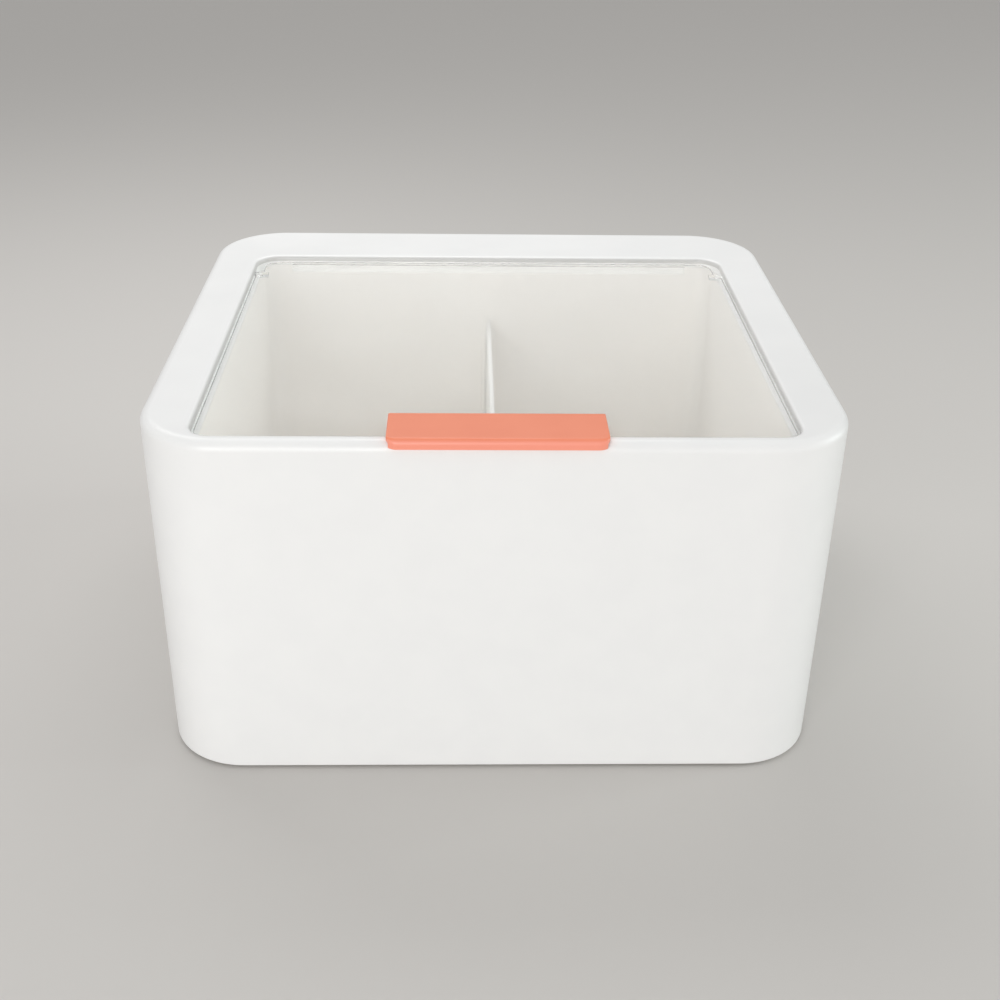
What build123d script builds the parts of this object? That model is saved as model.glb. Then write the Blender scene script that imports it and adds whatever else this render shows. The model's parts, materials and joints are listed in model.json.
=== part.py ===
from build123d import *
import os
from math import hypot

# Hinged storage box: a double-walled white box with a clear lid that turns on two
# moulded pins, a coral pull tab, a loose divider and four soft feet.
# Millimetres, +X to the right, +Y to the rear, +Z up, origin under the middle of the base.

# Outer shell
box_width = 170.0
box_depth = 156.2
shell_height = 93.5
corner_r = 20.4
top_edge_r = 2.5
bottom_bevel = 0.4
wall = 2.4
deck = 2.4

# Opening in the deck, and the collar that hangs below its edge
side_rim = 13.7
front_rim = 4.45
rear_rim = 25.5
opening_front_r = 5.0
opening_rear_r = 6.5
opening_edge_r = 1.2
collar = 2.2
collar_depth = 7.0

# Lid
lid_thickness = 2.0
lid_recess = 1.2
lid_side_gap = 0.9
lid_front_gap = 0.7
lid_rear_gap = 1.7
lid_front_r = 4.3
lid_edge_bevel = 0.3
tail_step = 1.6
tail_root = 10.0
tail_corner_r = 5.0
step_corner_r = 0.6
lip_end_gap = 9.8
lip_depth = 2.2
lip_thickness = 1.6
lip_setback = 0.4

# Hinge
hinge_from_rear = 11.6
pin_r = 1.5
pin_fit = 0.05
pin_end_gap = 0.3
pin_bevel = 0.4
pin_drop = 0.15
pin_shoulder_gap = 1.1
barrel_length = 8.8
bearing_depth = 2.9
bearing_wall = 1.0
bearing_end = 0.8

# Inner tub
tub_wall = 1.8
tub_floor = 2.0
tub_base_gap = 2.8
tub_fit = 0.1
seat_gap = 0.2
swing_gap = 0.35
tail_gap = 0.7
tub_front_lip = 1.5
tub_front_r = 3.6
tub_rear_r = 5.2
tub_floor_r = 3.0
shoulder_width = 1.2
shoulder_height = 2.0
notch_gap = 0.3

# Divider, and its guides in the tub
divider_thickness = 1.2
divider_height = 65.0
divider_end_gap = 0.2
divider_top_r = 1.5
divider_foot_gap = 0.2
guide_gap = 0.15
guide_thickness = 1.4
guide_reach = 2.6
guide_below_top = 4.0
rail_height = 2.5

# Pull tab
tab_width = 51.2
tab_depth = 14.5
tab_above_rim = 1.5
tab_over_rim_gap = 0.3
tab_front_reach = 1.3
tab_front_gap = 0.25
tab_lip_drop = 1.0
tab_foot_gap = 0.3
tab_front_r = 2.5
tab_rear_r = 1.2
tab_edge_r = 0.9
peg_r = 1.45
peg_fit = 0.05
peg_inset = 9.6
peg_from_rear = 4.2
peg_depth = 1.9

# Base cover
cover_thickness = 2.0
cover_recess = 0.5
cover_fit = 0.15
cover_flange = 1.2
cover_flange_height = 6.0
rib_thickness = 1.4
rib_margin = 8.0
ribs_across = 5
ribs_along = 4
clip_length = 30.0
clip_r = 0.55
clip_gap = 0.1
clip_rise = 4.0

# Feet
foot_proud = 0.7
foot_r = 6.0
foot_sunk = 0.8
foot_fit = 0.15
foot_bevel = 0.3
foot_inset = 19.0

# Levels, from the surface that the box stands on
shell_base = foot_proud
rim_z = shell_base + shell_height
deck_under = rim_z - deck
collar_z = rim_z - collar_depth
lid_top = rim_z - lid_recess
lid_under = lid_top - lid_thickness
ledge_z = lid_under - seat_gap
hinge_z = lid_top - pin_drop - pin_r
tab_top = rim_z + tab_above_rim
cover_under = shell_base + cover_recess
cover_top = cover_under + cover_thickness
clip_z = cover_top + clip_rise
tub_under = cover_top + tub_base_gap
floor_z = tub_under + tub_floor
divider_top = floor_z + divider_height
guide_top = divider_top - guide_below_top
foot_top = cover_under + foot_sunk

# Plan positions
front_y = -box_depth / 2
rear_y = box_depth / 2
opening_half = box_width / 2 - side_rim
opening_front = front_y + front_rim
opening_rear = rear_y - rear_rim
hinge_y = opening_rear - hinge_from_rear
lid_half = opening_half - lid_side_gap
lid_front = opening_front + lid_front_gap
lid_rear = opening_rear - lid_rear_gap
tail_half = lid_half - tail_step
step_y = hinge_y - pin_r - pin_shoulder_gap
barrel_start = tail_half - barrel_length
tail_sweep = hypot(lid_rear - hinge_y, lid_top - hinge_z)
tub_half = tail_half + tail_gap
tub_rear = hinge_y + tail_sweep + swing_gap
tub_front = opening_front + tub_front_lip
tub_middle = (tub_front + tub_rear) / 2
bore_r = pin_r + pin_fit
bore_end = opening_half + bearing_depth
pin_end = bore_end - pin_end_gap
collar_middle = opening_half + collar / 2
guide_x = divider_thickness / 2 + guide_gap + guide_thickness / 2
tab_front = front_y - tab_front_reach
tab_rear = tab_front + tab_depth
tab_foot_front = lid_front + tab_foot_gap
peg_x = tab_width / 2 - peg_inset
peg_y = tab_rear - peg_from_rear
wall_inside = box_width / 2 - wall
cover_half = wall_inside - cover_fit
cover_depth = box_depth - 2 * (wall + cover_fit)
cover_corner_r = corner_r - wall - cover_fit
foot_x = box_width / 2 - foot_inset
foot_y = box_depth / 2 - foot_inset


def panel(half_width, front, rear, front_r, rear_r, grow=0):
    """Flat outline about the Y axis, with its own corner radius in front and at the rear."""
    with BuildSketch() as outline:
        with Locations((0, (front + rear) / 2)):
            Rectangle(2 * (half_width + grow), rear - front + 2 * grow)
        fillet(outline.vertices().group_by(Axis.Y)[0], front_r + grow)
        fillet(outline.vertices().group_by(Axis.Y)[-1], rear_r + grow)
    return outline.sketch


opening = (opening_half, opening_front, opening_rear, opening_front_r, opening_rear_r)
tub_inside = (tub_half, tub_front, tub_rear, tub_front_r, tub_rear_r)

# Outer shell: walls and deck, open below, with the collar and its two blind bearings.
with BuildPart() as outer_shell:
    with BuildSketch(Plane.XY.offset(shell_base)):
        RectangleRounded(box_width, box_depth, corner_r)
    extrude(amount=shell_height)
    fillet(outer_shell.faces().sort_by(Axis.Z)[-1].edges(), top_edge_r)
    chamfer(outer_shell.faces().sort_by(Axis.Z)[0].edges(), bottom_bevel)
    with BuildSketch(Plane.XY.offset(shell_base)):
        RectangleRounded(box_width - 2 * wall, box_depth - 2 * wall, corner_r - wall)
    extrude(amount=shell_height - deck, mode=Mode.SUBTRACT)
    with BuildSketch(Plane.XY.offset(collar_z)):
        add(panel(*opening, grow=collar))
    extrude(amount=deck_under - collar_z)
    with BuildSketch(Plane.XY.offset(collar_z)):
        add(panel(*opening))
    extrude(amount=collar_depth, mode=Mode.SUBTRACT)
    fillet(outer_shell.faces().sort_by(Axis.Z)[-1].inner_wires()[0].edges(), opening_edge_r)
    for side in (-1, 1):
        with BuildSketch(Plane.YZ.offset(side * collar_middle)):
            with Locations((hinge_y, hinge_z)):
                Circle(bore_r + bearing_wall)
        extrude(amount=side * (bore_end + bearing_end - collar_middle))
    with BuildSketch(Plane.YZ.offset(-bore_end)):
        with Locations((hinge_y, hinge_z)):
            Circle(bore_r)
    extrude(amount=2 * bore_end, mode=Mode.SUBTRACT)
    with BuildSketch(Plane.XZ.offset(-clip_length / 2 - clip_gap)):
        with Locations((-cover_half, clip_z), (cover_half, clip_z)):
            Circle(clip_r + clip_gap)
    extrude(amount=clip_length + 2 * clip_gap, mode=Mode.SUBTRACT)
outer_shell.part.label = "outer_shell"

# Inner tub: its rebated top edge sits inside the collar and carries the lid, and its
# shoulder stops under the collar. The notches in that edge let the pins through.
with BuildPart() as inner_tub:
    with BuildSketch(Plane.XY.offset(tub_under)):
        add(panel(*tub_inside, grow=tub_wall))
    extrude(amount=collar_z - tub_under)
    chamfer(inner_tub.faces().sort_by(Axis.Z)[0].edges(), tub_floor_r)
    with BuildSketch(Plane.XY.offset(collar_z)):
        add(panel(*opening, grow=-tub_fit))
    extrude(amount=ledge_z - collar_z)
    with BuildSketch(Plane.XY.offset(collar_z)):
        add(panel(*tub_inside, grow=tub_wall + shoulder_width))
    extrude(amount=-shoulder_height)
    with BuildSketch(Plane.XY.offset(floor_z)):
        add(panel(*tub_inside))
    extrude(amount=ledge_z - floor_z, mode=Mode.SUBTRACT)
    fillet(inner_tub.faces().filter_by(Axis.Z).sort_by(Axis.Z)[1].edges(), tub_floor_r)
    with BuildSketch(Plane.XY.offset(floor_z - tub_floor / 2)):
        with Locations((-guide_x, tub_middle), (guide_x, tub_middle)):
            Rectangle(guide_thickness, tub_rear - tub_front + tub_wall)
    extrude(amount=rail_height + tub_floor / 2)
    with BuildSketch(Plane.XY.offset(floor_z)):
        for end_y in (tub_front, tub_rear):
            with Locations((-guide_x, end_y), (guide_x, end_y)):
                Rectangle(guide_thickness, 2 * guide_reach)
        with Locations((0, tub_middle)):
            Rectangle(box_width, tub_rear - tub_front + tub_wall, mode=Mode.INTERSECT)
    extrude(amount=guide_top - floor_z)
    with BuildSketch(Plane.YZ.offset(-opening_half)):
        with Locations((hinge_y, hinge_z)):
            Circle(pin_r + notch_gap)
    extrude(amount=2 * opening_half, mode=Mode.SUBTRACT)
inner_tub.part.label = "inner_tub"

# Divider: a plate that stands on the floor between the rails and the end guides.
with BuildPart() as divider:
    with BuildSketch(Plane.YZ.offset(-divider_thickness / 2)) as plate:
        with Locations((tub_middle, floor_z + divider_height / 2)):
            Rectangle(tub_rear - tub_front - 2 * divider_end_gap, divider_height)
        fillet(plate.vertices().group_by(Axis.Z)[-1], divider_top_r)
        chamfer(plate.vertices().group_by(Axis.Z)[0], tub_floor_r + divider_foot_gap)
    extrude(amount=divider_thickness)
divider.part.label = "divider"

# Lid: a clear panel with a narrower tail behind the hinge, a lip under its rear edge,
# and a barrel at each side that runs out into the pin.
with BuildPart() as lid:
    with BuildSketch(Plane.XY.offset(lid_under)):
        add(panel(lid_half, lid_front, step_y, lid_front_r, step_corner_r))
        add(panel(tail_half, step_y - tail_root, lid_rear, step_corner_r, tail_corner_r))
    extrude(amount=lid_thickness)
    chamfer(lid.faces().sort_by(Axis.Z)[-1].edges(), lid_edge_bevel)
    with BuildSketch(Plane.XY.offset(lid_under)):
        with Locations((0, lid_rear - lip_setback - lip_thickness / 2)):
            SlotOverall(2 * (tail_half - lip_end_gap), lip_thickness)
    extrude(amount=-lip_depth)
    for side in (-1, 1):
        with BuildSketch(Plane.YZ.offset(side * barrel_start)):
            with Locations((hinge_y, hinge_z)):
                Circle(pin_r)
        extrude(amount=side * (pin_end - barrel_start))
    for end in (0, -1):
        chamfer(lid.faces().sort_by(Axis.X)[end].edges(), pin_bevel)
    with BuildSketch(Plane.XY.offset(lid_under)):
        with Locations((-peg_x, peg_y), (peg_x, peg_y)):
            Circle(peg_r + peg_fit)
    extrude(amount=lid_thickness, mode=Mode.SUBTRACT)
lid.part.label = "lid"

# Pull tab: a strip that bridges the front rim, with a foot on the lid, a short lip over
# the front wall and two pegs that press down into the lid.
with BuildPart() as pull_tab:
    with BuildSketch(Plane.XY.offset(lid_top)):
        add(panel(tab_width / 2, tab_front, tab_rear, tab_front_r, tab_rear_r))
    extrude(amount=tab_top - lid_top)
    fillet(pull_tab.faces().sort_by(Axis.Z)[-1].edges(), tab_edge_r)
    with BuildSketch(Plane.YZ.offset(-tab_width / 2)):
        with BuildLine():
            Polyline(
                (tab_front, lid_top),
                (tab_front, rim_z - tab_lip_drop),
                (front_y - tab_front_gap, rim_z - tab_lip_drop),
                (front_y - tab_front_gap, rim_z + tab_over_rim_gap),
                (tab_foot_front, rim_z + tab_over_rim_gap),
                (tab_foot_front, lid_top),
                close=True,
            )
        make_face()
    extrude(amount=tab_width, mode=Mode.SUBTRACT)
    with BuildSketch(Plane.XY.offset(lid_top)):
        with Locations((-peg_x, peg_y), (peg_x, peg_y)):
            Circle(peg_r)
    extrude(amount=-peg_depth)
pull_tab.part.label = "pull_tab"

# Base cover: closes the shell from below, with a clipped flange, ribs under the tub's
# floor and a shallow pocket for each foot.
with BuildPart() as base_cover:
    with BuildSketch(Plane.XY.offset(cover_under)):
        RectangleRounded(2 * cover_half, cover_depth, cover_corner_r)
    extrude(amount=cover_thickness)
    with BuildSketch(Plane.XY.offset(cover_top)):
        RectangleRounded(2 * cover_half, cover_depth, cover_corner_r)
        offset(amount=-cover_flange, mode=Mode.SUBTRACT)
    extrude(amount=cover_flange_height)
    with BuildSketch(Plane.XY.offset(cover_top)):
        rib_width = 2 * (tub_half - rib_margin)
        rib_depth = tub_rear - tub_front - 2 * rib_margin
        with Locations((0, tub_middle)):
            with GridLocations(rib_width / (ribs_across - 1), 0, ribs_across, 1):
                Rectangle(rib_thickness, rib_depth + rib_thickness)
            with GridLocations(0, rib_depth / (ribs_along - 1), 1, ribs_along):
                Rectangle(rib_width + rib_thickness, rib_thickness)
    extrude(amount=tub_base_gap)
    with BuildSketch(Plane.XZ.offset(-clip_length / 2)):
        with Locations((-cover_half, clip_z), (cover_half, clip_z)):
            Circle(clip_r)
    extrude(amount=clip_length)
    with BuildSketch(Plane.XY.offset(cover_under)):
        with GridLocations(2 * foot_x, 2 * foot_y, 2, 2):
            Circle(foot_r + foot_fit)
    extrude(amount=foot_sunk, mode=Mode.SUBTRACT)
base_cover.part.label = "base_cover"

pieces = [outer_shell, inner_tub, divider, lid, pull_tab, base_cover]

# Feet: one soft pad in each pocket.
for depth_name, depth_side in (("front", -1), ("rear", 1)):
    for width_name, width_side in (("left", -1), ("right", 1)):
        with BuildPart() as foot:
            with BuildSketch():
                with Locations((width_side * foot_x, depth_side * foot_y)):
                    Circle(foot_r)
            extrude(amount=foot_top)
            chamfer(foot.edges().sort_by(Axis.Z)[0], foot_bevel)
        foot.part.label = f"foot_{depth_name}_{width_name}"
        pieces.append(foot)

os.makedirs("parts", exist_ok=True)
for piece in pieces:
    export_step(piece.part, f"parts/{piece.part.label}.step")
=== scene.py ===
"""Looks of a hinged storage box: a double-walled white box, its clear lid, coral tab and divider.

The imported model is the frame. Every new piece is worked out in millimetres in that frame, as
points on a grid, and goes into its mesh in metres. Each sub-assembly is a class that holds its
sizes, builds its meshes and dresses them in a finish.
"""

import json
import logging
from dataclasses import dataclass, replace
from enum import Enum
from math import radians
from typing import NamedTuple

import bpy
import numpy as np
from mathutils import Matrix, Vector


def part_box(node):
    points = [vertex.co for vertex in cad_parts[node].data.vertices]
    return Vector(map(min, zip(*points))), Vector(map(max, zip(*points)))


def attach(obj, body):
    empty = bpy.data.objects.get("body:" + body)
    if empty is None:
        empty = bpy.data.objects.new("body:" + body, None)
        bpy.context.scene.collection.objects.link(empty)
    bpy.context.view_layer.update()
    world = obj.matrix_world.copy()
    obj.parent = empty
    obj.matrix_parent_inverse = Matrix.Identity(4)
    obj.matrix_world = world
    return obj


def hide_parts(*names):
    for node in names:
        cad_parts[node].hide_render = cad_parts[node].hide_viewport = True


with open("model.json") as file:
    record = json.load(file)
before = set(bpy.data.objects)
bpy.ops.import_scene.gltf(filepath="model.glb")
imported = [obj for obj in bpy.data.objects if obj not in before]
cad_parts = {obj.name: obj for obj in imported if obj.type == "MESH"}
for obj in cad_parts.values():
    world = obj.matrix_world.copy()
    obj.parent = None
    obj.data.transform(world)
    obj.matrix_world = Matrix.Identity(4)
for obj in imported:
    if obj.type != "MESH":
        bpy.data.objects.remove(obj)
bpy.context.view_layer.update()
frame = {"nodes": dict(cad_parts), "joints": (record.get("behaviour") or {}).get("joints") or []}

MM = 0.001
SHARP_ANGLE = radians(32.0)
EDGE_MARK = "edge"
# How far the hidden end of a cutter or a section runs past a face, in millimetres.
PAST = 1.0
# Points nearer than this are one point, in millimetres.
TOUCHING = 1e-6
# The sockets of a colour mix, whose names other sockets of the node have too.
UNDER, OVER, MIXED = 6, 7, 2

Rings = np.ndarray
Traced = tuple[np.ndarray, np.ndarray]
Point = tuple[float, float, float]
Colour = tuple[float, float, float]
Tree = bpy.types.NodeTree
Socket = bpy.types.NodeSocket
NewGroup = tuple[Tree, bpy.types.NodeOutputs, bpy.types.NodeInputs]
Inputs = dict[object, object]
log = logging.getLogger("storage_box")


class Solid(Enum):
    """Ways in which a second closed shape changes a first one."""

    JOIN = "UNION"
    CUT = "DIFFERENCE"


class Axis(Enum):
    """The direction that a shape is turned about or drawn out along, as an order of coordinates."""

    X = (2, 0, 1)
    Y = (1, 2, 0)
    Z = (0, 1, 2)


class Extent(NamedTuple):
    """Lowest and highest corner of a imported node, in millimetres."""

    low: np.ndarray
    high: np.ndarray

    @classmethod
    def of(cls, node: str) -> "Extent":
        """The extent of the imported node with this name."""
        return cls(*(np.array(corner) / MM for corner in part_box(node)))


def rounded(corners: np.ndarray, radii: np.ndarray, steps: int, support: float) -> Traced:
    """Points along straight runs joined by arcs round each corner, with right-hand normals.

    A corner turns its path by an angle t. Its arc starts r * tan(t / 2) before the corner, and
    the point at turn a is the arc's centre plus r * n(a), where n is the normal of the run
    before it, turned by a. A left turn has its centre on the left, a right turn on the right.
    One more point a support distance before and after each arc keeps flat faces flat when
    they are shaded smooth.

    Args:
        corners: The corners of a closed path, one row each.
        radii: The radius at each corner.
        steps: The number of pieces that each arc is divided into.
        support: The distance of the extra points from their arc.

    Returns:
        The points and their unit normals, the same number for each corner.
    """
    before = corners - np.roll(corners, 1, axis=0)
    after = np.roll(corners, -1, axis=0) - corners
    before /= np.linalg.norm(before, axis=1, keepdims=True)
    after /= np.linalg.norm(after, axis=1, keepdims=True)
    cross = before[:, 0] * after[:, 1] - before[:, 1] * after[:, 0]
    turn = np.arctan2(cross, (before * after).sum(axis=1))
    reach = np.where(turn < 0, -radii, radii)[:, None]
    first = corners - before * (radii * np.tan(np.abs(turn) / 2))[:, None]
    right = np.stack([before[:, 1], -before[:, 0]], axis=1)
    angle = turn[:, None] * np.linspace(0.0, 1.0, steps + 1)
    cosine, sine = np.cos(angle), np.sin(angle)
    x, y = right[:, 0, None], right[:, 1, None]
    normal = np.stack([x * cosine - y * sine, x * sine + y * cosine], axis=2)
    arc = (first - right * reach)[:, None] + normal * reach[:, None]
    points = np.concatenate(
        [arc[:, :1] - before[:, None] * support, arc, arc[:, -1:] + after[:, None] * support], axis=1
    )
    normals = np.concatenate([normal[:, :1], normal, normal[:, -1:]], axis=1)
    return points.reshape(-1, 2), normals.reshape(-1, 2)


def profile(*stops: tuple[float, float, float], steps: int = 6, support: float = 0.12) -> np.ndarray:
    """An open section as points, from stops that each hold out, up and the radius there.

    The first and last stop are its ends. Each stop between them is a rounded corner, worked
    out as the rounded path is, and points that fall together at a sharp corner are dropped.

    Args:
        *stops: Distance out, height up and corner radius of each stop.
        steps: The number of pieces in each arc.
        support: The distance of the extra points beside each arc.

    Returns:
        One row of out and up for each point.
    """
    table = np.array(stops, float)
    points, _ = rounded(table[:, :2], table[:, 2], steps, support)
    inner = points.reshape(len(table), -1, 2)[1:-1].reshape(-1, 2)
    chain = np.concatenate([table[:1, :2], inner, table[-1:, :2]])
    kept = np.linalg.norm(np.diff(chain, axis=0), axis=1) > TOUCHING
    return chain[np.concatenate([[True], kept])]


@dataclass(frozen=True)
class Outline:
    """Closed flat outline, its corners in anticlockwise order with a radius each."""

    corners: tuple[tuple[float, float], ...]
    radii: tuple[float, ...]
    steps: int = 16
    support: float = 0.3

    @classmethod
    def panel(cls, half: float, front: float, rear: float, front_r: float, rear_r: float,
              steps: int = 16, support: float = 0.3) -> "Outline":
        """A rectangle about the middle line, with its own corner radius in front and at the rear."""
        corners = ((half, front), (half, rear), (-half, rear), (-half, front))
        return cls(corners, (front_r, rear_r, rear_r, front_r), steps, support)

    def trace(self) -> Traced:
        """The outline's points and their outward normals."""
        return rounded(np.array(self.corners, float), np.array(self.radii, float), self.steps, self.support)

    def sweep(self, section: np.ndarray) -> Rings:
        """Carries a section round the outline: out is along its normals and up is its height.

        Args:
            section: Rows of out and up, each of them one number or one for each point.

        Returns:
            One ring of points for each row of the section.
        """
        points, normals = self.trace()
        rows = section.reshape(*section.shape[:2], -1)
        flat = points[None] + rows[:, 0, :, None] * normals[None]
        up = np.broadcast_to(rows[:, 1, :, None], flat.shape[:2] + (1,))
        return np.concatenate([flat, up], axis=2)


def turned(section: np.ndarray, steps: int = 48) -> Rings:
    """Turns a section through a whole circle: at angle a, a point is r * cos(a), r * sin(a), up.

    Args:
        section: Rows of radius and height.
        steps: The number of points round the circle.

    Returns:
        One ring of points for each row.
    """
    angle = np.linspace(0.0, 2 * np.pi, steps, endpoint=False)
    radius, up = section[:, 0, None], section[:, 1, None]
    return np.stack([radius * np.cos(angle), radius * np.sin(angle), up + 0 * angle], axis=2)


def placed(rings: Rings, axis: Axis, centre: Point = (0.0, 0.0, 0.0)) -> Rings:
    """The rings with their height along an axis, about a centre."""
    return rings[..., list(axis.value)] + np.array(centre)


@dataclass
class Skin:
    """One closed mesh: rings of points joined by four-sided faces, and two flat ends or a loop."""

    rings: Rings
    looped: bool = False

    def faces(self) -> list[list[int]]:
        """Joins point j of ring i with its neighbours at i + 1 and j + 1, and closes the ends.

        Returns:
            The corner numbers of each face, in the order that points it outwards.
        """
        count, around = self.rings.shape[:2]
        ring = np.arange(count if self.looped else count - 1)[:, None]
        point = np.arange(around)[None]
        after, above = (point + 1) % around, (ring + 1) % count
        square = np.stack([ring * around + point, ring * around + after,
                           above * around + after, above * around + point], axis=2)
        listed = square.reshape(-1, 4).tolist()
        if not self.looped:
            listed.append(list(range(around - 1, -1, -1)))
            listed.append(list(range((count - 1) * around, count * around)))
        return listed


def round_bar(radius: float, start: float, end: float, axis: Axis, centre: Point, steps: int = 48) -> Skin:
    """A round bar: a straight section, from start to end, turned about an axis through a centre."""
    section = np.array([(radius, min(start, end)), (radius, max(start, end))])
    return Skin(placed(turned(section, steps), axis, centre))


def plate(outline: Outline, left: float, right: float, edge: float) -> Skin:
    """A plate: a side outline, in y and z, drawn out along x from left to right.

    Args:
        outline: The outline, with y across and z up.
        left: The place of its left face.
        right: The place of its right face.
        edge: The radius of its edges.

    Returns:
        One closed skin.
    """
    tuck = -1.2 * edge
    section = profile((tuck, left, 0), (0, left, edge), (0, right, edge), (tuck, right, 0), support=0.02)
    return Skin(placed(outline.sweep(section), Axis.X))


def make_piece(name: str, skin: Skin) -> bpy.types.Object:
    """Makes a piece at the origin, with its place in its mesh, in metres.

    Args:
        name: The name of the piece.
        skin: Its surface.

    Returns:
        The new piece, in the scene.
    """
    mesh = bpy.data.meshes.new(name)
    mesh.from_pydata((skin.rings.reshape(-1, 3) * MM).tolist(), [], skin.faces())
    mesh.validate()
    piece = bpy.data.objects.new(name, mesh)
    bpy.context.scene.collection.objects.link(piece)
    return piece


def combine(piece: bpy.types.Object, way: Solid, *skins: Skin) -> None:
    """Joins closed shapes to a piece, or cuts them out of it, and keeps the result as its mesh.

    Args:
        piece: The piece that changes.
        way: Whether the shapes are joined or cut.
        *skins: Closed shapes that don't touch each other.
    """
    tools = [make_piece(f"{piece.name}_{way.name.lower()}", skin) for skin in skins]
    for tool in tools:
        modifier = piece.modifiers.new(way.name, "BOOLEAN")
        modifier.operation, modifier.solver, modifier.object = way.value, "EXACT", tool
    ready = piece.evaluated_get(bpy.context.evaluated_depsgraph_get())
    old, piece.data = piece.data, bpy.data.meshes.new_from_object(ready)
    piece.modifiers.clear()
    piece.data.name = piece.name
    bpy.data.meshes.remove(old)
    for tool in tools:
        bpy.data.meshes.remove(tool.data)


def add(tree: Tree, kind: str, inputs: Inputs | None = None, **settings: object) -> bpy.types.Node:
    """Adds a node, sets its options, and sets or links its inputs.

    Args:
        tree: The node tree that gets the node.
        kind: The kind of node, without the word that starts every such name.
        inputs: A value or an output socket for each named or numbered input.
        **settings: Options of the node itself.

    Returns:
        The new node.
    """
    node = tree.nodes.new("ShaderNode" + kind)
    for option, value in settings.items():
        setattr(node, option, value)
    for key, value in (inputs or {}).items():
        if isinstance(value, Socket):
            tree.links.new(value, node.inputs[key])
        else:
            node.inputs[key].default_value = value
    return node


def math_of(tree: Tree, operation: str, first: object, second: object = 0.0) -> Socket:
    """The output of one sum on two values."""
    return add(tree, "Math", {0: first, 1: second}, operation=operation).outputs[0]


def noise_of(tree: Tree, place: Socket, scale: object, detail: float = 1.0) -> Socket:
    """The value of a noise pattern at a place."""
    return add(tree, "TexNoise", {"Vector": place, "Scale": scale, "Detail": detail}).outputs[0]


def between(tree: Tree, value: Socket, low: object, high: object,
            to: tuple[float, float] = (0.0, 1.0)) -> Socket:
    """A value carried smoothly from the range low to high into another range."""
    inputs = {"Value": value, "From Min": low, "From Max": high, "To Min": to[0], "To Max": to[1]}
    return add(tree, "MapRange", inputs, interpolation_type="SMOOTHSTEP").outputs[0]


def blend(tree: Tree, share: Socket, under: Socket | Colour, over: Colour) -> Socket:
    """Two colours mixed: under times one minus the share, plus over times the share."""
    base = under if isinstance(under, Socket) else (*under, 1.0)
    return add(tree, "Mix", {0: share, UNDER: base, OVER: (*over, 1.0)}, data_type="RGBA").outputs[MIXED]


def shared(tree: Tree, name: str, inputs: Inputs) -> bpy.types.NodeOutputs:
    """The outputs of the group of this name, with its inputs set or linked."""
    return add(tree, "Group", inputs, node_tree=bpy.data.node_groups[name]).outputs


def new_group(name: str, inputs: dict[str, float | None], outputs: tuple[str, ...]) -> NewGroup:
    """An empty node group with named sockets.

    Args:
        name: The group's name.
        inputs: The default of each number input, or None where the input is a place.
        outputs: The names of the number outputs.

    Returns:
        The group, the sockets that its inputs come from and those that its outputs go to.
    """
    tree = bpy.data.node_groups.new(name, "ShaderNodeTree")
    for label, default in inputs.items():
        kind = "NodeSocketVector" if default is None else "NodeSocketFloat"
        socket = tree.interface.new_socket(label, in_out="INPUT", socket_type=kind)
        if default is not None:
            socket.default_value = default
    for label in outputs:
        tree.interface.new_socket(label, in_out="OUTPUT", socket_type="NodeSocketFloat")
    return tree, tree.nodes.new("NodeGroupInput").outputs, tree.nodes.new("NodeGroupOutput").inputs


def mould_group() -> None:
    """The skin that a mould leaves: a fine even grain on slow waves where the walls sank a little.

    The height is the grain's noise times its height plus the waves' noise times theirs. The
    polish follows the waves, and the shade follows a noise that is finer than the waves. The
    group gives a height in millimetres, a slow shade from 0 to 1 and a polish from 0 to 1.
    """
    shades_per_wave, plain, full = 3.7, 0.3, 0.7
    tree, given, result = new_group(
        "MouldSkin",
        {"Place": None, "Grain per metre": 2500.0, "Grain height": 0.004, "Wave per metre": 24.0,
         "Wave height": 0.04},
        ("Height", "Shade", "Polish"),
    )
    place, waves = given["Place"], given["Wave per metre"]
    grain = noise_of(tree, place, given["Grain per metre"], detail=2.0)
    wave = noise_of(tree, place, waves)
    flow = noise_of(tree, place, math_of(tree, "MULTIPLY", waves, shades_per_wave), detail=3.0)
    height = math_of(
        tree, "ADD",
        math_of(tree, "MULTIPLY", grain, given["Grain height"]),
        math_of(tree, "MULTIPLY", wave, given["Wave height"]),
    )
    tree.links.new(height, result["Height"])
    for noise, label in ((flow, "Shade"), (wave, "Polish")):
        tree.links.new(between(tree, noise, plain, full), result[label])


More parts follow.
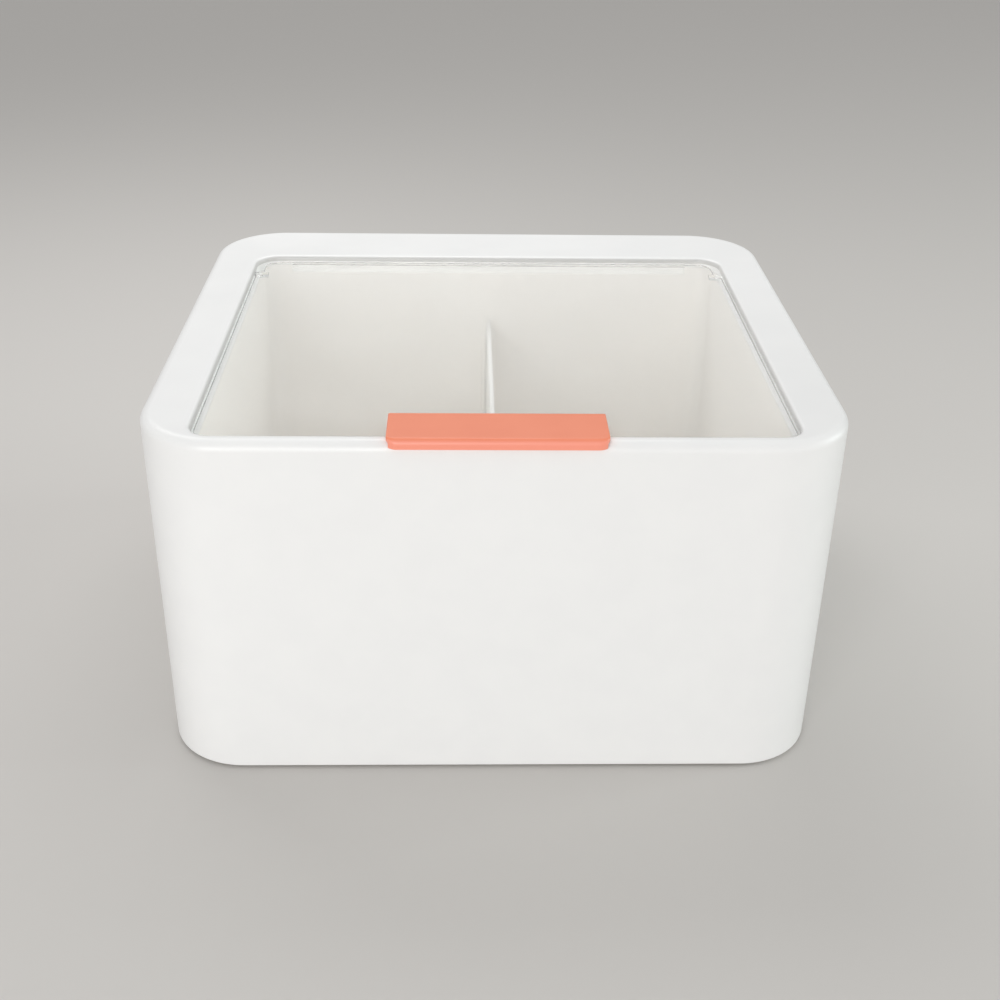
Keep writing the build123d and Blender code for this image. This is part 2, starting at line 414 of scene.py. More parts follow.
def handling_group() -> None:
    """The marks of handling: soft smudges, hair scratches and a few specks of dust.

    Smudges are a slow noise above a level. Scratches are the crests of a noise drawn out along
    one direction. Specks are the cells of a random pattern whose centre is near, in few cells.
    The group gives three masks from 0 to 1.
    """
    blots, patches, cells_per_metre, speck_size = 38.0, 60.0, 130.0, 0.05
    blot_range, patch_range = (0.5, 0.68), (0.55, 0.65)
    stroke_turn, stroke_scale, stroke_width = radians(34.0), (14.0, 900.0, 260.0), 0.012
    tree, given, result = new_group(
        "HandlingMarks",
        {"Place": None, "Smudges": 0.5, "Scratches": 0.3, "Specks": 0.1},
        ("Smudge", "Scratch", "Speck"),
    )
    place = given["Place"]
    blot = between(tree, noise_of(tree, place, blots, detail=2.0), *blot_range)
    turned_place = {"Vector": place, "Rotation": (0.0, 0.0, stroke_turn), "Scale": stroke_scale}
    drawn = add(tree, "Mapping", turned_place).outputs[0]
    crest = math_of(tree, "ABSOLUTE", math_of(tree, "SUBTRACT", noise_of(tree, drawn, 1.0), 0.5))
    patch = between(tree, noise_of(tree, place, patches), *patch_range)
    line = math_of(tree, "MULTIPLY", between(tree, crest, 0.0, stroke_width, (1.0, 0.0)), patch)
    cells = add(tree, "TexVoronoi", {"Vector": place, "Scale": cells_per_metre})
    near = between(tree, cells.outputs["Distance"], 0.0, speck_size, (1.0, 0.0))
    pick = add(tree, "SeparateColor", {0: cells.outputs["Color"]}).outputs[0]
    chosen = math_of(tree, "LESS_THAN", pick, given["Specks"])
    for mask, share, label in (
        (blot, given["Smudges"], "Smudge"),
        (line, given["Scratches"], "Scratch"),
        (near, chosen, "Speck"),
    ):
        tree.links.new(math_of(tree, "MULTIPLY", mask, share), result[label])


def zone_group() -> None:
    """The mask of a zone: a box of half width, front and rear, from the bottom to the top.

    The mask grows from 0 at the top to 1 at the soft depth below it.
    """
    tree, given, result = new_group(
        "ZoneMask",
        {"Place": None, "half": 0.1, "front": -0.1, "rear": 0.1, "bottom": 0.0, "top": 0.1, "soft": 0.001},
        ("Zone",),
    )
    x, y, z = add(tree, "SeparateXYZ", {0: given["Place"]}).outputs
    drop = math_of(tree, "SUBTRACT", given["top"], z)
    mask = between(tree, drop, 0.0, given["soft"])
    for lower, upper in (
        (math_of(tree, "ABSOLUTE", x), given["half"]),
        (given["front"], y),
        (y, given["rear"]),
        (given["bottom"], z),
    ):
        mask = math_of(tree, "MULTIPLY", mask, math_of(tree, "LESS_THAN", lower, upper))
    tree.links.new(mask, result["Zone"])


def new_material(name: str) -> tuple[bpy.types.Material, Tree, bpy.types.Node]:
    """A material with nothing in it but its output.

    Args:
        name: The material's name.

    Returns:
        The material, its node tree and its output node.
    """
    material = bpy.data.materials.new(name)
    material.use_nodes = True
    material.node_tree.nodes.clear()
    return material, material.node_tree, material.node_tree.nodes.new("ShaderNodeOutputMaterial")


@dataclass(frozen=True)
class Zone:
    """A box in which a moulding takes another tone, softly from its top down: painted shade or painted
    light.
    """

    tone: Colour
    half: float
    front: float
    rear: float
    bottom: float
    top: float
    soft: float

    @classmethod
    def around(cls, opening: Outline, tone: Colour, bottom: float, top: float,
               reach: float, soft: float) -> "Zone":
        """The zone that runs round an opening and reaches a little way past its outline."""
        (half, front), (_, rear) = opening.corners[:2]
        return cls(tone, half + reach, front - reach, rear + reach, bottom, top, soft)

    def inputs(self) -> Inputs:
        """The measures of the zone for its node group, in metres."""
        return {name: size * MM for name, size in vars(self).items() if name != "tone"}


@dataclass(frozen=True)
class MouldedPlastic:
    """Opaque moulded plastic: two close shades, a satin grain, and roughness that follows handling."""

    name: str
    colour: Colour
    shade_colour: Colour
    roughness: tuple[float, float]
    smudges: float = 0.4
    smudge_gloss: float = 0.5
    scratches: float = 0.3
    scratch_depth: float = 0.002
    specks: float = 0.05
    speck_colour: Colour = (0.35, 0.33, 0.30)
    ior: float = 1.5
    zone: Zone | None = None

    def material(self) -> bpy.types.Material:
        """Builds the material.

        The colour is the two shades mixed by the skin's slow shade, under the specks and the zone's
        painted shade or light. The roughness follows the skin's polish plus the scratches minus a
        share of the smudges, and the height is the skin's minus the depth of the scratches.

        Returns:
            A material whose colour, roughness and normal change over the surface.
        """
        made, tree, output = new_material(self.name)
        place = add(tree, "TexCoord").outputs["Object"]
        skin = shared(tree, "MouldSkin", {"Place": place})
        marks = shared(tree, "HandlingMarks", {
            "Place": place, "Smudges": self.smudges, "Scratches": self.scratches, "Specks": self.specks,
        })
        tone = blend(tree, skin["Shade"], self.colour, self.shade_colour)
        tone = blend(tree, marks["Speck"], tone, self.speck_colour)
        if self.zone:
            mask = shared(tree, "ZoneMask", {"Place": place, **self.zone.inputs()})["Zone"]
            tone = blend(tree, mask, tone, self.zone.tone)
        smoothed = math_of(tree, "MULTIPLY", marks["Smudge"], -self.smudge_gloss)
        worn = math_of(tree, "ADD", skin["Polish"], smoothed)
        dulled = math_of(tree, "ADD", worn, marks["Scratch"])
        depth = math_of(tree, "MULTIPLY", marks["Scratch"], self.scratch_depth)
        height = math_of(tree, "SUBTRACT", skin["Height"], depth)
        shader = add(tree, "BsdfPrincipled", {
            "Base Color": tone,
            "Roughness": between(tree, dulled, 0.0, 1.0, self.roughness),
            "Normal": add(tree, "Bump", {"Strength": 1.0, "Distance": MM, "Height": height}).outputs[0],
            "IOR": self.ior,
        })
        tree.links.new(shader.outputs[0], output.inputs["Surface"])
        return made


@dataclass(frozen=True)
class ClearPlastic:
    """Clear moulded plastic: glass-like, with smudges in its gloss, that lets the lamps through."""

    name: str
    tint: Colour
    edge_tint: Colour
    roughness: tuple[float, float]
    edge_roughness: float = 0.14
    smudges: float = 0.7
    scratches: float = 1.0
    wave_per_metre: float = 30.0
    wave_height: float = 0.006
    clearness: float = 0.88
    ior: float = 1.5

    def material(self) -> bpy.types.Material:
        """Builds the material.

        The roughness is the larger of two: the one that follows the smudges and scratches, and
        the edge's, which grows with how far a face turns from level.

        Returns:
            A material that bends light, except on its way to a lamp.
        """
        made, tree, output = new_material(self.name)
        place = add(tree, "TexCoord").outputs["Object"]
        marks = shared(tree, "HandlingMarks", {
            "Place": place, "Smudges": self.smudges, "Scratches": self.scratches,
        })
        skin = shared(tree, "MouldSkin", {
            "Place": place, "Grain height": 0.0,
            "Wave per metre": self.wave_per_metre, "Wave height": self.wave_height,
        })
        dull = math_of(tree, "MAXIMUM", marks["Smudge"], marks["Scratch"])
        edge = add(tree, "Attribute", attribute_name=EDGE_MARK).outputs["Fac"]
        edge_rough = math_of(tree, "MULTIPLY", edge, self.edge_roughness)
        rough = math_of(tree, "MAXIMUM", between(tree, dull, 0.0, 1.0, self.roughness), edge_rough)
        bump = add(tree, "Bump", {"Strength": 1.0, "Distance": MM, "Height": skin["Height"]})
        tint = blend(tree, edge, self.tint, self.edge_tint)
        shader = add(tree, "BsdfPrincipled", {
            "Base Color": tint, "Roughness": rough, "Normal": bump.outputs[0], "IOR": self.ior,
            "Transmission Weight": self.clearness,
        })
        passing = add(tree, "BsdfTransparent", {"Color": tint})
        lamp_ray = add(tree, "LightPath").outputs["Is Shadow Ray"]
        mixed = add(tree, "MixShader", {0: lamp_ray, 1: shader.outputs[0], 2: passing.outputs[0]})
        tree.links.new(mixed.outputs[0], output.inputs["Surface"])
        return made


@dataclass
class Piece:
    """A finished piece and what it stands for."""

    thing: bpy.types.Object
    body: str
    slot: str
    node: str = ""

    def settle(self, finish: bpy.types.Material) -> None:
        """Dresses the piece and reports it; a piece that stands for a node is also put on its body.

        Args:
            finish: The material of the whole piece.
        """
        mesh = self.thing.data
        mesh.materials.clear()
        mesh.materials.append(finish)
        if self.node:
            mesh.shade_smooth()
            mesh.set_sharp_from_angle(angle=SHARP_ANGLE)
            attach(self.thing, self.body)
            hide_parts(self.node)
        log.info("%s on %s in %s, %d faces", self.thing.name, self.body, finish.name, len(mesh.polygons))


@dataclass
class Shell:
    """The white outer wall and deck, in one closed skin with the collar and the two bearings."""

    finish: MouldedPlastic
    hinge: Point
    corner_r: float = 20.4
    top_r: float = 2.5
    foot_r: float = 0.4
    wall: float = 2.4
    side_rim: float = 13.7
    front_rim: float = 4.45
    rear_rim: float = 25.5
    opening_front_r: float = 5.0
    opening_rear_r: float = 6.5
    opening_edge_r: float = 1.2
    flat: float = 0.3
    collar: float = 2.2
    collar_depth: float = 7.0
    collar_end_r: float = 0.3
    inner_r: float = 0.6
    bore_r: float = 1.55
    bore_end: float = 74.2
    boss_r: float = 2.55
    boss_end: float = 75.0
    groove_r: float = 0.65
    groove_half: float = 15.1
    groove_height: float = 6.5
    bead_r: float = 0.55
    # Painted shade: a darker grey painted on the opening's edge and collar, in the gap round the lid.
    dust: Colour = (0.62, 0.615, 0.60)
    dust_from_rim: float = 0.05
    dust_depth: float = 1.55
    dust_soft: float = 0.55
    extent: Extent = Extent.of("outer_shell")

    def outer(self) -> Outline:
        """The outline of the outer wall."""
        low, high = self.extent
        return Outline.panel(high[0], low[1], high[1], self.corner_r, self.corner_r, steps=28, support=1.0)

    def opening(self) -> Outline:
        """The outline of the opening in the deck."""
        low, high = self.extent
        return Outline.panel(high[0] - self.side_rim, low[1] + self.front_rim, high[1] - self.rear_rim,
                             self.opening_front_r, self.opening_rear_r, steps=28, support=0.5)

    def skin(self) -> Skin:
        """Wall, rolled edge, deck, opening and collar, then back along the underside of all.

        Returns:
            A skin whose section closes on itself.
        """
        base, rim = self.extent.low[2], self.extent.high[2]
        under, lip = rim - self.wall, rim - self.collar_depth
        wall, collar, edge = self.wall, self.collar, self.opening_edge_r
        outside = profile((-wall, base, 0), (0, base, self.foot_r), (0, rim, self.top_r),
                          (-self.top_r - self.flat, rim, 0), steps=12, support=0.2)
        inside = profile((edge + self.flat, rim, 0), (0, rim, edge), (0, lip, self.collar_end_r),
                         (collar, lip, self.collar_end_r), (collar, under, 0), steps=8, support=0.2)
        back = profile((-wall - 2 * PAST, under, 0), (-wall, under, self.inner_r), (-wall, base + PAST, 0))
        rings = [self.outer().sweep(outside), self.opening().sweep(inside), self.outer().sweep(back)]
        return Skin(np.concatenate(rings), looped=True)

    def bars(self, radius: float, start: float, end: float) -> list[Skin]:
        """A round bar on the hinge's axis at each side, from start to end."""
        return [round_bar(radius, side * start, side * end, Axis.X, self.hinge) for side in (-1, 1)]

    def grooves(self) -> list[Skin]:
        """The bars that cut the grooves for the cover's beads, along the inside of the side walls.

        Returns:
            One closed skin for each side.
        """
        out, half = Extent.of("base_cover").high[0] - self.bead_r, self.groove_half
        height = self.extent.low[2] + self.groove_height
        return [round_bar(self.groove_r, -half, half, Axis.Y, (side * out, 0.0, height), steps=16)
                for side in (-1, 1)]

    def build(self) -> None:
        """Makes the shell, adds the two bearings behind the collar, bores them and cuts the grooves."""
        piece = make_piece("outer_shell_moulding", self.skin())
        opening = self.opening()
        half = opening.corners[0][0]
        combine(piece, Solid.JOIN, *self.bars(self.boss_r, half + self.collar / 2, self.boss_end))
        combine(piece, Solid.CUT, *self.bars(self.bore_r, half - PAST, self.bore_end), *self.grooves())
        # Painted shade along the seam round the lid, where the gap lies in shade.
        top = self.extent.high[2] - self.dust_from_rim
        bottom, reach = top - self.dust_depth, self.opening_edge_r
        seam = Zone.around(opening, self.dust, bottom, top, reach, self.dust_soft)
        Piece(piece, "box", "white_shell", "outer_shell").settle(replace(self.finish, zone=seam).material())


@dataclass
class Tub:
    """The white inner tub with its rails and guides, and the divider that stands in them."""

    finish: MouldedPlastic
    divider_finish: MouldedPlastic
    shell: Shell
    wall: float = 1.8
    floor: float = 2.0
    shoulder: float = 1.2
    shoulder_height: float = 2.0
    fit: float = 0.02
    front_r: float = 3.6
    rear_r: float = 5.2
    floor_r: float = 3.0
    under_r: float = 4.0
    edge_r: float = 0.25
    fine_r: float = 0.2
    notch_r: float = 1.8
    guide_thickness: float = 1.4
    guide_gap: float = 0.15
    guide_reach: float = 2.6
    guide_drop: float = 4.0
    guide_top_r: float = 0.5
    guide_foot_r: float = 1.0
    rail_height: float = 2.5
    rail_edge: float = 0.3
    rail_bite: float = 0.7
    rail_buried_r: float = 0.42
    divider_corner_r: float = 0.5
    divider_top_r: float = 1.5
    divider_foot: float = 3.2
    divider_edge: float = 0.25
    # Painted shade: a darker tone painted on the ledge that lies under the lid's edge.
    dust: Colour = (0.77, 0.76, 0.74)
    extent: Extent = Extent.of("inner_tub")
    divider: Extent = Extent.of("divider")

    def inside(self) -> Outline:
        """The outline of the tub's inner walls."""
        (low, high), grown = self.extent, self.wall + self.shoulder
        return Outline.panel(high[0] - grown, low[1] + grown, high[1] - grown,
                             self.front_r, self.rear_r, steps=20)

    def skin(self) -> Skin:
        """Outer wall, shoulder, the rebated edge inside the collar, the ledge, inner wall and floor.

        Returns:
            A skin whose ends are the underside and the top of the floor.
        """
        base, ledge = self.extent.low[2], self.extent.high[2]
        lip = self.shell.extent.high[2] - self.shell.collar_depth
        wide, fine, floor = self.wall + self.shoulder, self.fine_r, base + self.floor
        below, fit = lip - self.shoulder_height, self.fit
        outer = profile((self.wall - self.under_r - PAST, base, 0), (self.wall, base, self.under_r),
                        (self.wall, below, fine), (wide, below, fine), (wide, lip, fine),
                        (self.wall + fine, lip, 0))
        rebate = profile((-fit, lip, 0), (-fit, ledge, fit), (-2 * fine, ledge, 0), support=fit)
        inner = profile((2 * self.edge_r, ledge, 0), (0, ledge, self.edge_r), (0, floor, self.floor_r),
                        (-self.floor_r - self.edge_r, floor, 0), steps=10)
        inside = self.inside()
        opening = replace(self.shell.opening(), steps=inside.steps, support=inside.support)
        return Skin(np.concatenate([inside.sweep(outer), opening.sweep(rebate), inside.sweep(inner)]))

    def rails(self) -> list[Skin]:
        """The rails on the floor, with an upright guide at each end, that hold the divider.

        Each is a side outline, drawn out over the rail's thickness with eased edges. Its ends
        and its foot run a little way into the wall and the floor.

        Returns:
            One closed skin for each side of the divider.
        """
        low, high = self.extent
        bite, edge, half = self.rail_bite, self.rail_edge, self.guide_thickness / 2
        front, rear = low[1] + self.wall + self.shoulder, high[1] - self.wall - self.shoulder
        floor, top = low[2] + self.floor, self.divider.high[2] - self.guide_drop
        foot, crest, reach = floor - bite, floor + self.rail_height, self.guide_reach
        corners = ((front - bite, foot), (rear + bite, foot), (rear + bite, top), (rear - reach, top),
                   (rear - reach, crest), (front + reach, crest), (front + reach, top), (front - bite, top))
        buried, eased, inner = self.rail_buried_r, self.guide_top_r, self.guide_foot_r
        radii = (buried, buried, buried, eased, inner, inner, eased, buried)
        outline = Outline(corners, radii, steps=6, support=0.05)
        middle = self.divider.high[0] + self.guide_gap + half
        return [plate(outline, side * middle - half, side * middle + half, edge) for side in (-1, 1)]

    def build_tub(self) -> None:
        """Makes the tub, its rails with their guides, and the notches that let the pins through."""
        piece = make_piece("inner_tub_moulding", self.skin())
        combine(piece, Solid.JOIN, *self.rails())
        end = self.extent.high[0]
        combine(piece, Solid.CUT, round_bar(self.notch_r, -end, end, Axis.X, self.shell.hinge))
        # Painted shade on the ledge under the lid's edge.
        ledge, edge = self.extent.high[2], self.edge_r
        seam = Zone.around(self.shell.opening(), self.dust, ledge - 2 * edge, ledge + edge, edge, edge)
        Piece(piece, "box", "white_tub", "inner_tub").settle(replace(self.finish, zone=seam).material())

    def build_divider(self) -> None:
        """Makes the divider: its side outline drawn out over its thickness, with eased edges."""
        low, high = self.divider
        plain, top = self.divider_corner_r, self.divider_top_r
        foot, edge = self.divider_foot, self.divider_edge
        corners = ((low[1] + foot, low[2]), (high[1] - foot, low[2]), (high[1], low[2] + foot),
                   (high[1], high[2]), (low[1], high[2]), (low[1], low[2] + foot))
        outline = Outline(corners, (plain, plain, plain, top, top, plain), steps=8, support=0.1)
        piece = make_piece("divider_plate", plate(outline, low[0], high[0], edge))
        Piece(piece, "box", "white_tub", "divider").settle(self.divider_finish.material())


@dataclass
class Lid:
    """The clear lid with its lip, barrels and pins, and the coral tab that is pressed into it."""

    finish: ClearPlastic
    tab_finish: MouldedPlastic
    shell: Shell
    thickness: float = 2.0
    spread: float = 0.35
    front_r: float = 4.3
    edge_r: float = 0.15
    step: float = 1.6
    step_from_axis: float = 2.6
    step_r: float = 0.6
    notch_r: float = 0.3
    tail_r: float = 5.0
    pin_r: float = 1.5
    pin_reach: float = 3.5
    pin_bevel: float = 0.4
    barrel: float = 1.5
    barrel_bevel: float = 0.2
    lip_inset: float = 7.8
    lip_thickness: float = 1.6
    lip_roundness: float = 0.95
    lip_setback: float = 0.4
    lip_bite: float = 0.5
    lip_edge_r: float = 0.4
    hole_r: float = 1.5
    peg_r: float = 1.45
    peg_inset: float = 9.6
    peg_from_rear: float = 4.2
    tab_front_r: float = 2.6
    tab_rear_r: float = 0.45
    tab_edge_r: float = 0.3
    tab_roll_r: float = 1.4
    tab_roll_steps: int = 16
    # Painted light: the tab's rolled front and front face are painted paler and pinker, as if lit from the
    # front.
    tab_front_tone: Colour = (0.95, 0.325, 0.225)
    tab_front_soft: float = 0.7
    tab_foot_r: float = 0.25
    tab_lip_drop: float = 1.0
    tab_rim_gap: float = 0.3
    tab_front_gap: float = 0.25
    tab_bridge_r: float = 0.3
    seat: float = 0.02
    extent: Extent = Extent.of("lid")
    tab: Extent = Extent.of("pull_tab")

    def outline(self) -> Outline:
        """The panel's outline, which steps in on both sides just before the pins.

        Returns:
            The outline, the same on both sides.
        """
        body = self.extent.high[0] - self.pin_reach
        wide, slim, step = body + self.spread, body - self.step, self.shell.hinge[1] - self.step_from_axis
        front, rear = self.extent.low[1], self.extent.high[1]
        half = [(wide, front), (wide, step), (slim, step), (slim, rear)]
        radii = (self.front_r, self.step_r, self.notch_r, self.tail_r)
        corners = (*half, *[(-x, y) for x, y in reversed(half)])
        return Outline(corners, (*radii, *reversed(radii)), steps=12, support=0.1)

    def bars(self) -> list[Skin]:
        """The barrels, each of which runs out into its pin, with a bevel at each end.

        Returns:
            One closed skin for each side.
        """
        radius, eased, bevel = self.pin_r, self.barrel_bevel, self.pin_bevel
        end = self.extent.high[0]
        start = end - self.pin_reach - self.step - self.barrel
        right = np.array([(radius - eased, start), (radius, start + eased),
                          (radius, end - bevel), (radius - bevel, end)])
        left = (right * (1, -1))[::-1]
        return [Skin(placed(turned(section, steps=40), Axis.X, self.shell.hinge))
                for section in (left, right)]

    def pegs(self, radius: float, low: float, high: float) -> list[Skin]:
        """Two upright round bars where the pegs are, from the height low to the height high."""
        x, y = self.tab.high[0] - self.peg_inset, self.tab.high[1] - self.peg_from_rear
        return [round_bar(radius, low, high, Axis.Z, (side * x, y, 0.0)) for side in (-1, 1)]

    def lip(self, top: float) -> Skin:
        """The stiffening lip under the tail: a thin panel's outline carried down with an eased foot.

        Args:
            top: The height of the panel's top.

        Returns:
            One closed skin, whose upper end is inside the panel.
        """
        rear, bottom = self.extent.high[1] - self.lip_setback, self.extent.low[2]
        half = self.extent.high[0] - self.pin_reach - self.step - self.lip_inset
        end_r = self.lip_roundness * self.lip_thickness / 2
        outline = Outline.panel(half, rear - self.lip_thickness, rear, end_r, end_r, steps=8, support=0.02)
        edge = self.lip_edge_r
        tuck, high = -1.5 * edge, top - self.lip_bite
        fall = profile((tuck, bottom, 0), (0, bottom, edge), (0, high, 0), support=0.05)
        return Skin(outline.sweep(fall))

    def build_lid(self) -> None:
        """Makes the panel, joins the two bars and the lip, and drills the holes for the pegs."""
        top, edge = self.extent.high[2], self.edge_r
        under, inset = top - self.thickness, -PAST / 2
        section = profile((inset, under, 0), (0, under, edge), (0, top, edge), (inset, top, 0),
                          steps=5, support=0.05)
        piece = make_piece("lid_panel", Skin(self.outline().sweep(section)))
        combine(piece, Solid.JOIN, *self.bars())
        combine(piece, Solid.JOIN, self.lip(top))
        combine(piece, Solid.CUT, *self.pegs(self.hole_r, under - PAST, top + PAST))
        self.mark_edges(piece.data)
        Piece(piece, "lid", "clear_lid", "lid").settle(self.finish.material())

    def mark_edges(self, mesh: bpy.types.Mesh) -> None:
        """Marks each face for the finish by how far it turns from level: one minus |normal z|.

        Args:
            mesh: The mesh that gets the marks.
        """
        normals = np.empty(3 * len(mesh.polygons))
        mesh.polygons.foreach_get("normal", normals)
        marks = mesh.attributes.new(EDGE_MARK, "FLOAT", "FACE")
        marks.data.foreach_set("value", 1.0 - np.abs(normals[2::3]))

    def tab_section(self, outline: Outline, seat: float, top: float) -> np.ndarray:
        """The tab's section at each point of its outline.

        The radius of the top edge is the plain edge's, and grows to the roll's in front with the
        square of how far the outline's normal leans that way.

        Args:
            outline: The tab's outline in plan.
            seat: The height of its underside.
            top: The height of its top.

        Returns:
            Rows of out and up, with one number for each point.
        """
        lean = np.clip(-outline.trace()[1][:, 1], 0.0, 1.0) ** 2
        radius = self.tab_edge_r + (self.tab_roll_r - self.tab_edge_r) * lean
        foot_r, support = self.tab_foot_r, 0.05
        foot = profile((-PAST, seat, 0), (0, seat, foot_r), (0, seat + 2 * foot_r, 0), support=support)
        angle = np.linspace(0.0, np.pi / 2, self.tab_roll_steps + 1)[:, None]
        edge = np.stack([radius * (np.cos(angle) - 1), top + radius * (np.sin(angle) - 1)], axis=1)
        crown = np.stack([-radius - support, np.full_like(radius, top)])[None]
        return np.concatenate([np.repeat(foot[:, :, None], len(radius), axis=2), edge, crown])

    def build_tab(self) -> None:
        """Makes the tab: a strip with a rolled front, cut from below to bridge the rim, on two pegs."""
        low, high = self.tab
        seat, top = self.extent.high[2] + self.seat, high[2]
        rim = self.shell.extent.high[2]
        lip = rim - self.tab_lip_drop
        outline = Outline.panel(high[0], low[1], high[1], self.tab_front_r, self.tab_rear_r, support=0.1)
        piece = make_piece("pull_tab_strip", Skin(outline.sweep(self.tab_section(outline, seat, top))))
        wall, clear = self.shell.extent.low[1] - self.tab_front_gap, rim + self.tab_rim_gap
        inner, open_front, open_foot = self.extent.low[1] + self.tab_rim_gap, low[1] - PAST, seat - PAST
        corners = ((open_front, open_foot), (inner, open_foot), (inner, clear),
                   (wall, clear), (wall, lip), (open_front, lip))
        radii = (0.0, 0.0, self.tab_bridge_r, self.tab_bridge_r, 0.0, 0.0)
        bridge = Outline(corners, radii, steps=4, support=0.1)
        span = np.array([(0.0, low[0] - PAST), (0.0, high[0] + PAST)])
        combine(piece, Solid.CUT, Skin(placed(bridge.sweep(span), Axis.X)))
        combine(piece, Solid.JOIN, *self.pegs(self.peg_r, low[2], seat + PAST))
        # Painted light on the rolled front, paler from the roll down to the lip.
        painted_front_light = Zone(self.tab_front_tone, high[0] + PAST, open_front, low[1] + self.tab_roll_r, lip, top,
                      self.tab_front_soft)
        Piece(piece, "lid", "coral_tab", "pull_tab").settle(replace(self.tab_finish, zone=painted_front_light).material())


@dataclass
class Base:
    """The base cover as packed, and the four soft feet in its pockets."""

    cover_finish: MouldedPlastic
    foot_finish: MouldedPlastic
    foot_edge_r: float = 0.35
    foot_top_r: float = 0.1
    dish: float = 0.15
    dish_bend_r: float = 0.8
    dish_reach: tuple[float, float, float] = (0.45, 0.6, 0.7)
    foot_crown: float = 0.8
    weld: float = 0.001
    names: tuple[str, ...] = ("foot_front_left", "foot_front_right", "foot_rear_left", "foot_rear_right")

    def build_cover(self) -> None:
        """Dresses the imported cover: its loose faces are welded and its normals follow its flats."""
        cover = frame["nodes"]["base_cover"]
        weld = cover.modifiers.new("Weld", "WELD")
        weld.merge_threshold = self.weld * MM
        split = cover.modifiers.new("Corners", "EDGE_SPLIT")
        split.split_angle = SHARP_ANGLE
        Piece(cover, "box", "white_shell").settle(self.cover_finish.material())
        cover.data.shade_smooth()

    def build_feet(self) -> None:
        """Makes the four pads: each a turned section with a soft rim round a slightly dished face."""
        finish = self.foot_finish.material()
        for name in self.names:
            low, high = Extent.of(name)
            x, y, _ = (low + high) / 2
            radius, base, top = high[0] - x, low[2], high[2]
            dished, bend = base + self.dish, self.dish_bend_r
            start, slope, tread = (share * radius for share in self.dish_reach)
            rim = profile((start, dished, 0), (slope, dished, bend), (tread, base, bend),
                          (radius, base, self.foot_edge_r), (radius, top, self.foot_top_r),
                          (self.foot_crown * radius, top, 0))
            pad = Skin(placed(turned(rim, steps=64), Axis.Z, (x, y, 0.0)))
            Piece(make_piece(f"{name}_pad", pad), "box", "foot_pad", name).settle(finish)


@dataclass(frozen=True)
class Lamp:
    """A soft square lamp: its place and what it faces in metres, its side and its power."""

    name: str
    place: Point
    side: float
    power: float
    colour: Colour = (1.0, 1.0, 1.0)
    aim: Point = (0.0, 0.0, 0.06)

    def light(self) -> None:
        """Puts the lamp in the scene, facing what it is aimed at and not seen through clear plastic."""
        lamp = bpy.data.lights.new(self.name, "AREA")
        lamp.shape, lamp.size, lamp.energy, lamp.color = "SQUARE", self.side, self.power, self.colour
        holder = bpy.data.objects.new(self.name, lamp)
        holder.location, holder.visible_transmission = self.place, False
        holder.rotation_euler = (Vector(self.aim) - Vector(self.place)).to_track_quat("-Z", "Y").to_euler()
        bpy.context.scene.collection.objects.link(holder)


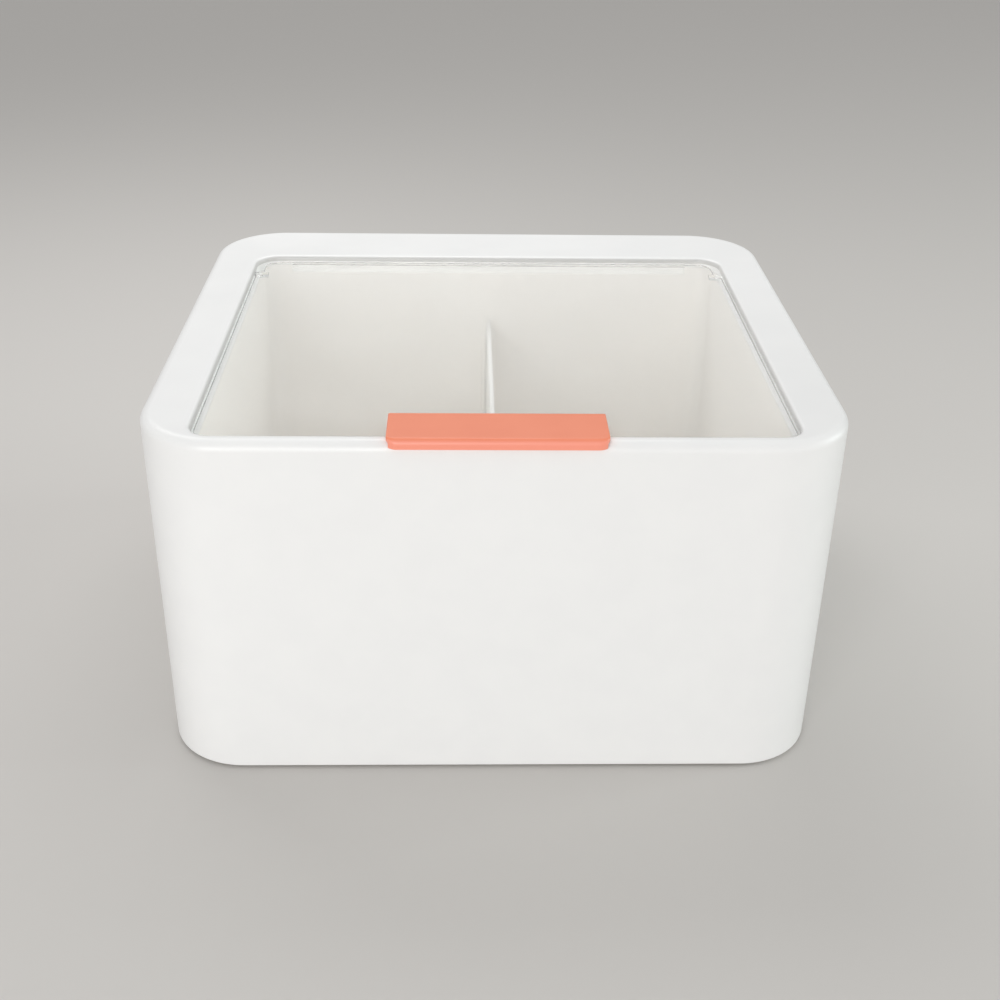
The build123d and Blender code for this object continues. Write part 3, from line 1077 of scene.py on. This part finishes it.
@dataclass
class Studio:
    """The plain pale floor, the lamps, the surrounding light and the camera."""

    lamps: tuple[Lamp, ...]
    floor_colour: Colour = (0.62, 0.60, 0.575)
    floor_roughness: float = 0.9
    world_colour: Colour = (1.0, 1.0, 1.0)
    world_strength: float = 0.55
    diffuse_bounces: int = 12
    seen_colour: Colour = (0.72, 0.71, 0.69)
    floor_half: float = 6.0
    camera_place: Point = (-0.0080, -0.3518, 0.2302)
    camera_down: float = 28.81
    camera_yaw: float = -1.8
    camera_roll: float = -0.98
    lens: float = 48.39
    sensor: float = 36.0
    nearest: float = 0.01

    def build_floor(self) -> None:
        """Makes the floor under the feet, as one flat square."""
        half = self.floor_half
        corners = [(-half, -half, 0.0), (half, -half, 0.0), (half, half, 0.0), (-half, half, 0.0)]
        mesh = bpy.data.meshes.new("floor")
        mesh.from_pydata(corners, [], [range(len(corners))])
        floor = bpy.data.objects.new("floor", mesh)
        bpy.context.scene.collection.objects.link(floor)
        material, tree, output = new_material("floor_paint")
        paint = {"Base Color": (*self.floor_colour, 1.0), "Roughness": self.floor_roughness}
        shader = add(tree, "BsdfPrincipled", paint)
        tree.links.new(shader.outputs[0], output.inputs["Surface"])
        mesh.materials.append(material)

    def build_world(self) -> None:
        """Lights the scene evenly from all round, with a pale background for the camera."""
        world = bpy.data.worlds.new("surroundings")
        bpy.context.scene.world = world
        world.use_nodes = True
        tree = world.node_tree
        tree.nodes.clear()
        lit = add(tree, "Background", {"Color": (*self.world_colour, 1.0), "Strength": self.world_strength})
        seen = add(tree, "Background", {"Color": (*self.seen_colour, 1.0), "Strength": 1.0})
        camera_ray = add(tree, "LightPath").outputs["Is Camera Ray"]
        mixed = add(tree, "MixShader", {0: camera_ray, 1: lit.outputs[0], 2: seen.outputs[0]})
        output = tree.nodes.new("ShaderNodeOutputWorld")
        tree.links.new(mixed.outputs[0], output.inputs["Surface"])

    def build_camera(self) -> None:
        """Puts the camera at its place: turned by its yaw, tipped down, then rolled."""
        data = bpy.data.cameras.new("camera")
        data.lens, data.sensor_width, data.clip_start = self.lens, self.sensor, self.nearest
        camera = bpy.data.objects.new("camera", data)
        yaw = Matrix.Rotation(radians(self.camera_yaw), 4, "Z")
        down = Matrix.Rotation(-radians(self.camera_down), 4, "X")
        roll = Matrix.Rotation(radians(self.camera_roll), 4, "Y")
        level = Matrix.Rotation(radians(90.0), 4, "X")
        camera.matrix_world = Matrix.Translation(self.camera_place) @ yaw @ down @ roll @ level
        bpy.context.scene.collection.objects.link(camera)
        bpy.context.scene.camera = camera

    def build(self) -> None:
        """Builds the whole studio, and sets how often light may bounce and how colours are shown."""
        self.build_floor()
        self.build_world()
        for lamp in self.lamps:
            lamp.light()
        self.build_camera()
        bpy.context.scene.cycles.diffuse_bounces = self.diffuse_bounces
        bpy.context.scene.view_settings.view_transform = "Standard"


def main() -> None:
    """Builds the node groups, the sub-assemblies and the studio in order."""
    logging.basicConfig(level=logging.INFO, format="%(name)s: %(message)s")
    mould_group()
    handling_group()
    zone_group()
    found = next(joint for joint in frame["joints"] if joint["name"] == "lid_hinge")
    hinge = tuple(at / MM for at in found["pos_m"])
    white = MouldedPlastic(
        "white_moulding", (0.885, 0.885, 0.875), (0.872, 0.872, 0.864), roughness=(0.30, 0.40), specks=0.012)
    inner = MouldedPlastic(
        "tub_moulding", (0.928, 0.901, 0.862), (0.918, 0.891, 0.852), roughness=(0.45, 0.55), specks=0.02)
    upright = MouldedPlastic(
        "divider_moulding", (0.90, 0.892, 0.868), (0.89, 0.882, 0.858), roughness=(0.55, 0.65))
    coral = MouldedPlastic(
        "coral_moulding", (0.90, 0.262, 0.138), (0.88, 0.25, 0.13), roughness=(0.36, 0.44), smudges=0.2)
    tray = MouldedPlastic("cover_moulding", (0.86, 0.86, 0.85), (0.85, 0.85, 0.84), roughness=(0.4, 0.5))
    rubber = MouldedPlastic(
        "foot_rubber", (0.42, 0.42, 0.41), (0.38, 0.38, 0.37), roughness=(0.6, 0.75), smudges=0.1)
    clear = ClearPlastic("clear_moulding", (0.985, 0.99, 0.988), (0.97, 0.975, 0.97), roughness=(0.04, 0.09))
    shell = Shell(white, hinge)
    shell.build()
    tub = Tub(inner, upright, shell)
    tub.build_tub()
    tub.build_divider()
    lid = Lid(clear, coral, shell)
    lid.build_lid()
    lid.build_tab()
    base = Base(tray, rubber)
    base.build_cover()
    base.build_feet()
    Studio((
        Lamp("front", (-0.30, -1.10, 0.34), side=0.6, power=5.9),
        Lamp("rear", (0.0, 0.20, 0.40), side=0.2, power=0.32),
        Lamp("rear_left", (-0.25, 0.28, 0.50), side=0.3, power=0.6),
        Lamp("right", (1.10, 0.05, 0.30), side=0.5, power=3.6, colour=(0.93, 1.0, 0.985)),
    )).build()


if __name__ == "__main__":
    main()
